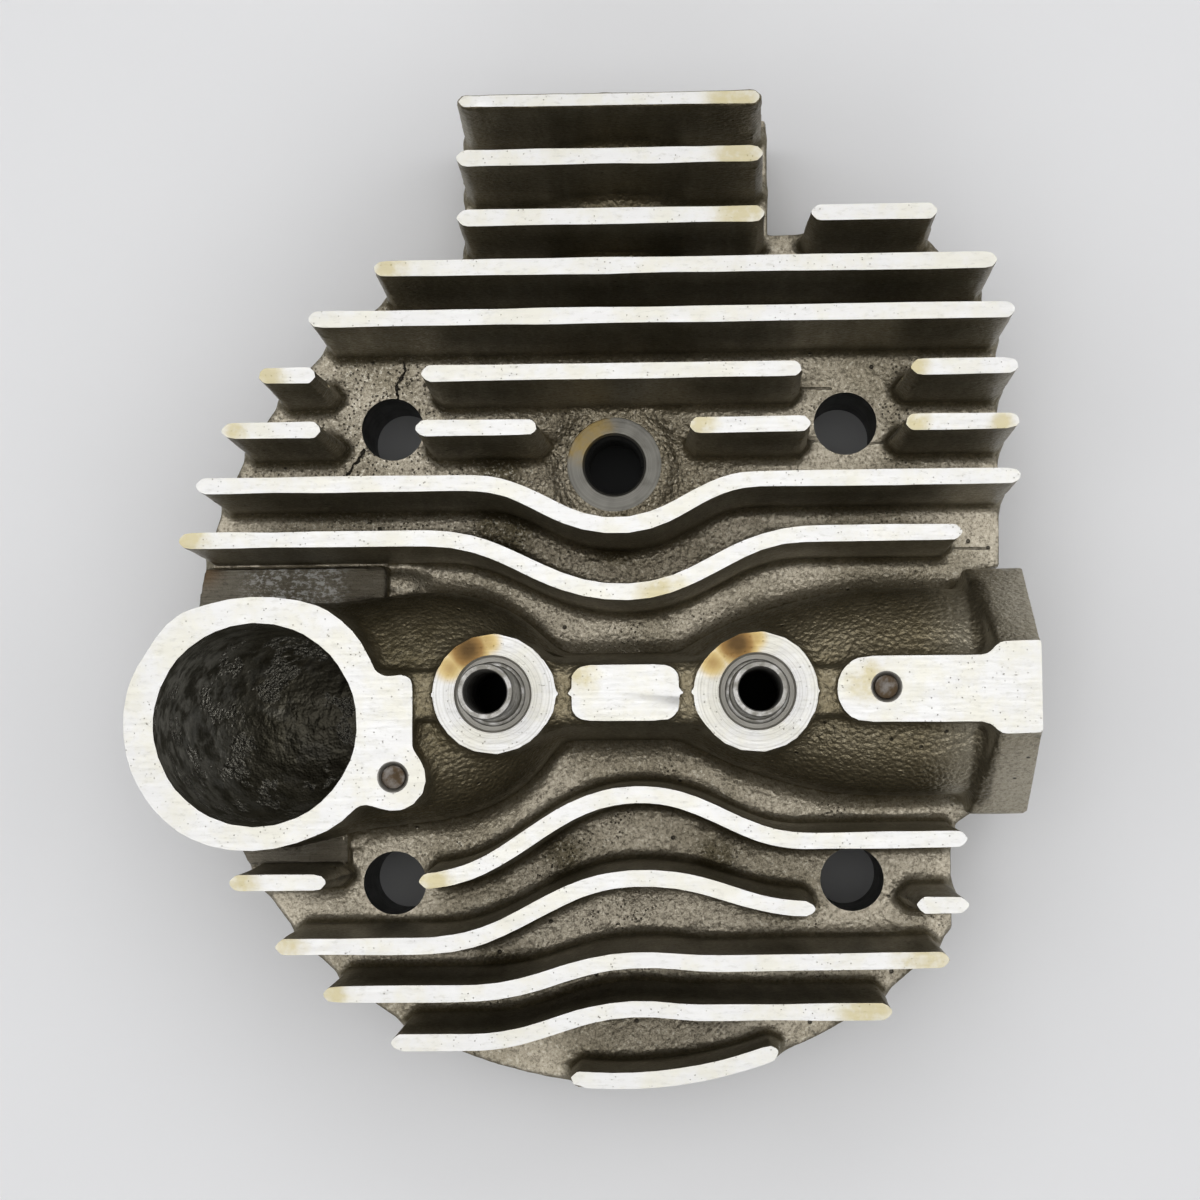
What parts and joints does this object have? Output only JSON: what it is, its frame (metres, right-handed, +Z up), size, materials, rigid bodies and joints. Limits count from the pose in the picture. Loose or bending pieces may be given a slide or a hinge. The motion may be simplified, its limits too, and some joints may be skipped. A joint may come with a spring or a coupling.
{
  "type": "cylinder head",
  "caption": "Finned, air-cooled overhead-valve cylinder head with guides, seats, an upward exhaust mouth and a side intake flange.",
  "frame": {"origin": "middle of the outer box, on the plane of the gasket face; the cylinder axis is 7.8 mm to +X and 12.8 mm to -Y of it", "axes": "+Z up along the cylinder axis away from the cylinder, +X towards the intake flange, +Y towards the fin block past the spark plug"},
  "size_m": [0.1984, 0.2236, 0.094],
  "materials": {
    "cast_aluminium": "sand-cast aluminium, warm grey, with bright milled faces",
    "guide_steel": "turned grey steel, light oil film",
    "seat_steel": "ground dark steel",
    "dowel_steel": "steel pin, slightly browned"
  },
  "bodies": {
    "root": {"head_casting": "cast_aluminium", "exhaust_valve_guide": "guide_steel", "intake_valve_guide": "guide_steel", "exhaust_valve_seat": "seat_steel", "intake_valve_seat": "seat_steel", "exhaust_pad_dowel": "dowel_steel", "intake_pad_dowel": "dowel_steel"}
  },
  "joints": []
}
